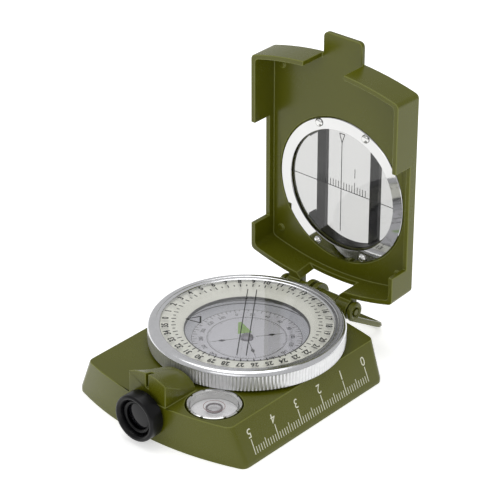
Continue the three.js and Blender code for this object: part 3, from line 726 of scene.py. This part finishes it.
level_at = middle("level_case")
LEVEL_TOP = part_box("level_case")[1].z / MM
LEVEL_R = (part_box("level_case")[1].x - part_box("level_case")[0].x) / MM / 2
LEVEL_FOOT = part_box("level_case")[0].z / MM
LEVEL_BORE = LEVEL_R - 1.0
LEVEL_FLOOR = LEVEL_TOP - 3.0
LEVEL_SIDES = 360
NOTCHES_AT = (9, 71, 105, 154, 189, 251, 285, 334)  # in sides, which are degrees, round the rim
NOTCH_HALF, NOTCH_DEEP = 3, 0.45


def rim_notch(k, r, z):
    """Shallow notches in the rim, for a pin wrench."""
    near = any(abs(k - at) < NOTCH_HALF for at in NOTCHES_AT)
    return NOTCH_DEEP if near and r > LEVEL_R - 0.5 and z > LEVEL_TOP - 0.5 else 0.0


polish = plated("polished_nickel", srgb(226, 226, 224), 0.08, 0.06)
cup = turned(
    "level_cup",
    [
        (0, LEVEL_FOOT),
        (LEVEL_R - 0.2, LEVEL_FOOT),
        (LEVEL_R, LEVEL_FOOT + 0.2),
        (LEVEL_R, LEVEL_TOP - 0.3),
        (LEVEL_R - 0.1, LEVEL_TOP - 0.1),
        (LEVEL_R - 0.3, LEVEL_TOP),
        (LEVEL_R - 0.5, LEVEL_TOP - 0.04),
        (LEVEL_BORE, LEVEL_TOP - 0.45),
        (LEVEL_BORE, LEVEL_FLOOR),
        (0, LEVEL_FLOOR),
    ],
    LEVEL_SIDES,
    level_at[:2],
    dent=rim_notch,
)
dress(cup, polish, "base", "bright_metal", "level_case")
floor_disc = turned(
    "level_floor",
    [
        (0, LEVEL_FLOOR),
        (LEVEL_BORE - 0.1, LEVEL_FLOOR),
        (LEVEL_BORE - 0.1, LEVEL_FLOOR + 0.2),
        (LEVEL_BORE - 0.4, LEVEL_FLOOR + 0.3),
        (0, LEVEL_FLOOR + 0.3),
    ],
    96,
    level_at[:2],
)
# The level's white floor carries the same faint painted glow.
dress(floor_disc, lacquered("level_white", srgb(228, 227, 229), 0.3, **painted_glow), "base", "dial_white")
window = turned(
    "level_window",
    [
        (0, LEVEL_TOP - 0.9),
        (LEVEL_BORE - 0.05, LEVEL_TOP - 0.9),
        (LEVEL_BORE - 0.05, LEVEL_TOP - 0.35),
        (LEVEL_BORE - 0.3, LEVEL_TOP - 0.25),
        (0, LEVEL_TOP - 0.2),
    ],
    96,
    level_at[:2],
)
dress(window, pane, "base", "clear", "level_vial")
BUBBLE_R, BUBBLE_HALF, BUBBLE_Z = 2.35, 0.6, LEVEL_TOP - 1.6
BUBBLE_STEPS = 24
bubble_profile = []
for step in range(BUBBLE_STEPS + 1):
    turn = math.radians(-90 + 180 * step / BUBBLE_STEPS)
    reach = BUBBLE_R * math.cos(turn) ** 0.7 if 0 < step < BUBBLE_STEPS else 0
    bubble_profile.append((reach, BUBBLE_Z + BUBBLE_HALF * math.sin(turn)))
bubble = turned("level_bubble", bubble_profile, 64, level_at[:2], crease=180)
dress(bubble, clear_pane("bubble_skin", (0.94, 0.935, 0.94), 0.02), "base", "clear")
level_print = Print((level_at.x, level_at.y, LEVEL_TOP - 1.0), (1, 0, 0), (0, 1, 0))
level_print.band(3.0, 0.14)
dress(level_print.piece("level_ring"), ink("level_red", srgb(150, 100, 96)), "base", "clear")
# A grey ring round the bubble's edge is painted shade, for the dark rim that the curved liquid shows.
meniscus = turned(
    "bubble_edge",
    [
        (BUBBLE_R - 0.5, BUBBLE_Z),
        (BUBBLE_R, BUBBLE_Z - 0.35),
        (BUBBLE_R + 0.06, BUBBLE_Z + 0.2),
        (BUBBLE_R - 0.3, BUBBLE_Z + 0.4),
    ],
    72,
    level_at[:2],
    crease=180,
)
dress(meniscus, lacquered("meniscus_shade", srgb(128, 120, 124), 0.15), "base", "clear")

# ---- Prism -----------------------------------------------------------------------------
# Inside the sight housing a small right-angled prism turns the view down to the card. A
# folded brass cradle holds it.

recoat("sight_prism", clear_pane("prism_glass", (0.93, 0.96, 0.95)))
recoat("prism_holder", brass)

# ---- Eyepiece --------------------------------------------------------------------------
# The focusing eyepiece is moulded in glossy black plastic: a round cap with a dished bore,
# stepped inside, that slides in the housing on its spigot. A lens sits behind a ring.

BARREL_LOW, BARREL_HIGH = (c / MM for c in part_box("eyepiece_barrel"))
EYE_X, EYE_Z = (BARREL_LOW.x + BARREL_HIGH.x) / 2, (BARREL_LOW.z + BARREL_HIGH.z) / 2
EYE_R, EYE_FRONT = (BARREL_HIGH.x - BARREL_LOW.x) / 2, BARREL_LOW.y


def along_sight(name, profile, crease=32):
    """A lathe piece on the sight line. Heights count back from the eyepiece's face."""
    piece = turned(name, profile, crease=crease)
    lay = Matrix.Rotation(math.radians(-90), 4, "X")
    piece.data.transform(Matrix.Translation(Vector((EYE_X, EYE_FRONT, EYE_Z)) * MM) @ lay)
    return piece


black = Finish("black_plastic")
moulding = black.noise(800, 3)
black.surface(
    Base_Color=black.blend(moulding, srgb(4, 4, 6), srgb(9, 9, 11)),
    Roughness=0.24 + moulding * 0.14,
    Specular_IOR_Level=0.22,
    Normal=black.bump(black.noise(2400, 1), 0.006),
)
barrel = along_sight(
    "eye_cap",
    [
        (3.7, 11.7),
        (3.7, 4.2),
        (5.0, 4.2),
        (5.0, 2.0),
        (5.15, 1.85),
        (5.2, 1.5),
        (5.45, 0.7),
        (5.7, 0.3),
        (6.05, 0.04),
        (6.4, 0.0),
        (6.75, 0.12),
        (6.95, 0.35),
        (EYE_R, 0.75),
        (EYE_R, 4.5),
        (EYE_R - 0.2, 4.7),
        (5.0, 4.7),
        (5.0, 11.5),
        (4.8, 11.7),
    ],
)
dress(barrel, black, "eyepiece", "black_plastic", "eyepiece_barrel")
ring = along_sight("lens_ring", [(4.0, 1.7), (4.3, 1.5), (4.7, 1.5), (4.7, 2.6), (4.0, 2.2)])
dress(ring, black, "eyepiece", "black_plastic", "lens_retainer")
LENS_R, LENS_FACE, LENS_BACK, LENS_RISE = 4.7, 2.15, 3.9, 0.75
dome = [(0, LENS_BACK), (0, LENS_FACE)]
for degrees in range(6, 91, 6):
    turn = math.radians(degrees)
    dome.append((LENS_R * math.sin(turn), LENS_FACE + LENS_RISE * (1 - math.cos(turn))))
lens = along_sight("eye_lens", dome + [(LENS_R, LENS_BACK)], crease=60)
# The lens is drawn opaque and near black: painted shade for the dark bore seen through it, under a
# glossy face.
lens_glass = Finish("lens_painted_dark")
bloom = lens_glass.noise(60, 2)
lens_glass.surface(
    Base_Color=lens_glass.blend(bloom, srgb(5, 5, 8), srgb(16, 16, 19)),
    Roughness=0.04 + bloom * 0.03,
    Specular_IOR_Level=0.3,
    Normal=lens_glass.bump(bloom, 0.004),
)
dress(lens, lens_glass, "eyepiece", "clear", "eyepiece_lens")

# ---- Lid -------------------------------------------------------------------------------
# The lid is a second die casting in the same olive coat. It stands open on the hinge, and
# its round opening carries the sighting window.

# Its rounded edges take the same lighter olive painted highlight as the base's.
lid_casting = softened("lid_casting", "lid_shell", 0.22, edge=olive_edge_painted_highlight)
dress(lid_casting, olive, "lid", "olive_paint", "lid_shell")

# The window is a lightly smoked disc held by a mirror-polished ring and four dome-headed
# screws. A hairline with a small arrow, a level line and a fine scale are printed on it.

HINGE = Vector((0, 33.1, 12.4))  # a point of the hinge's axis
SWING = Matrix.Rotation(math.radians(-89.4), 3, "X")  # from shut to open


def on_lid(x, y, z):
    """A point drawn with the lid shut, where it is with the lid open."""
    return HINGE + SWING @ (Vector((x, y, z)) - HINGE)


chrome = Finish("mirror_chrome")
haze = chrome.noise(120, 3)
chrome.surface(
    Base_Color=chrome.blend(haze, srgb(203, 203, 202), srgb(216, 216, 215)),
    Metallic=1.0,
    Roughness=0.03 + haze * 0.03,
    Normal=chrome.bump(haze, 0.004),
)
dress(
    softened("mirror_bezel", "mirror_ring", 0.1),
    chrome,
    "lid",
    "mirror_metal",
    "mirror_ring",
)
recoat("window_disc", clear_pane("smoked_glass", (0.72, 0.72, 0.715)))
WINDOW_Y = 0.4  # the level line's place with the lid shut
DISC_FACE = 21.85  # the disc's inner face with the lid shut
face = Print(
    on_lid(0, WINDOW_Y, DISC_FACE),
    SWING @ Vector((1, 0, 0)),
    SWING @ Vector((0, -1, 0)),
)
LEVEL_FROM, LEVEL_TO, LEVEL_LINE = -18.6, 19.2, 0.22
HAIRLINE_FOOT, HAIRLINE_TOP, HAIRLINE = -14.1, 15.4, 0.24
LONG_MARK, SHORT_MARK, FREE_MARK, MARK_LINE = 3.6, 2.3, (5.0, 8.0), 0.2
ARROW_BASE, ARROW_POINT, ARROW_HALF = 17.9, 15.0, 0.95
face.bar((LEVEL_FROM, 0), (LEVEL_TO, 0), LEVEL_LINE)
face.bar((0, HAIRLINE_FOOT), (0, HAIRLINE_TOP), HAIRLINE)
corners = [(-ARROW_HALF, ARROW_BASE), (ARROW_HALF, ARROW_BASE), (0, ARROW_POINT)]
for a, b in zip(corners, corners[1:] + corners[:1]):
    face.bar(a, b, HAIRLINE)
for mm in range(-9, 10):
    face.bar((mm, 0), (mm, LONG_MARK if mm % 5 == 0 else SHORT_MARK), MARK_LINE)
for x in (-5, 5):
    face.bar((x, FREE_MARK[0]), (x, FREE_MARK[1]), MARK_LINE)
dress(face.piece("window_print"), ink("black_ink", srgb(34, 36, 34)), "lid", "clear")

for number in range(1, 5):
    at = middle(f"window_screw_{number}")
    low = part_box(f"window_screw_{number}")[0].y / MM
    dome = [(0, 0.0), (0.45, 0.03), (0.85, 0.13), (1.15, 0.3), (1.3, 0.52), (1.3, 0.6)]
    head = turned(f"dome_screw_{number}", dome + [(0.7, 0.6), (0.7, 5.4), (0, 5.6)], 40)
    lay = Matrix.Rotation(math.radians(-90), 4, "X")
    head.data.transform(Matrix.Translation(Vector((at.x, low, at.z)) * MM) @ lay)
    dress(head, polish, "lid", "steel", f"window_screw_{number}")

# Outside, a black frame with two upright bars guards the window and helps to line up the
# view.

satin_black = Finish("satin_black")
scuffs = satin_black.noise(600, 3)
satin_black.surface(
    Base_Color=satin_black.blend(scuffs, srgb(16, 15, 16), srgb(30, 29, 30)),
    Roughness=0.3 + scuffs * 0.14,
    Specular_IOR_Level=0.35,
    Normal=satin_black.bump(satin_black.noise(2000, 1), 0.008),
)
guard = softened("window_guard", "sight_frame", 0.25)
dress(guard, satin_black, "lid", "black_plastic", "sight_frame")

# ---- Thumb loop ------------------------------------------------------------------------
# A loop of stout wire hangs on the hinge pin by its two eyes, painted with the base.

dress(softened("wire_loop", "thumb_loop", 0.01, 80), olive, "loop", "olive_paint", "thumb_loop")

# ---- Studio ----------------------------------------------------------------------------
# A pale floor, a bright even room and large soft lights, with the camera in front, to the
# right and above.

scene = bpy.context.scene
scene.view_settings.view_transform = "Standard"
floor_mesh = bpy.data.meshes.new("floor")
FLOOR = 6.0  # metres
corners = [(-FLOOR, -FLOOR, 0), (FLOOR, -FLOOR, 0), (FLOOR, FLOOR, 0), (-FLOOR, FLOOR, 0)]
floor_mesh.from_pydata(corners, [], [(0, 1, 2, 3)])
floor = link(bpy.data.objects.new("floor", floor_mesh))
paper = Finish("white_paper")
paper.surface(
    Base_Color=(0.93, 0.93, 0.93),
    Roughness=0.9,
    Specular_IOR_Level=0.1,
    Emission_Color=(1, 1, 1),
    Emission_Strength=0.5,
)
floor_mesh.materials.append(paper.material)

room = bpy.data.worlds.new("room")
room.use_nodes = True
sky = room.node_tree.nodes["Background"]
sky.inputs["Color"].default_value = (1, 1, 1, 1)
sky.inputs["Strength"].default_value = 0.62
scene.world = room


def soft_light(name, at, target, width, height, power):
    """A rectangular softbox, in metres and watts."""
    lamp = bpy.data.lights.new(name, "AREA")
    lamp.shape, lamp.size, lamp.size_y, lamp.energy = "RECTANGLE", width, height, power
    holder = link(bpy.data.objects.new(name, lamp))
    holder.location = at
    way = Vector(target) - Vector(at)
    holder.rotation_euler = way.to_track_quat("-Z", "Y").to_euler()


soft_light("overhead", (-0.2, 0.1, 1.1), (0, 0, 0.03), 0.8, 0.8, 4)
soft_light("front", (0.3, -1.0, 0.7), (0, 0, 0.03), 0.7, 0.5, 1.2)

camera = bpy.data.cameras.new("camera")
camera.sensor_width, camera.lens = 36.0, 159.51
camera.clip_start, camera.clip_end = 0.05, 20.0
view = link(bpy.data.objects.new("camera", camera))
view.location = (0.35741, -0.41696, 0.34154)
DOWN, ROUND, ROLL = (math.radians(angle) for angle in (28.617, 40.527, 0.377))
aim = Euler((math.pi / 2 - DOWN, 0, ROUND), "XYZ").to_matrix()
roll = Matrix.Rotation(ROLL, 3, "Z")
view.rotation_euler = (aim @ roll).to_euler()
scene.camera = view
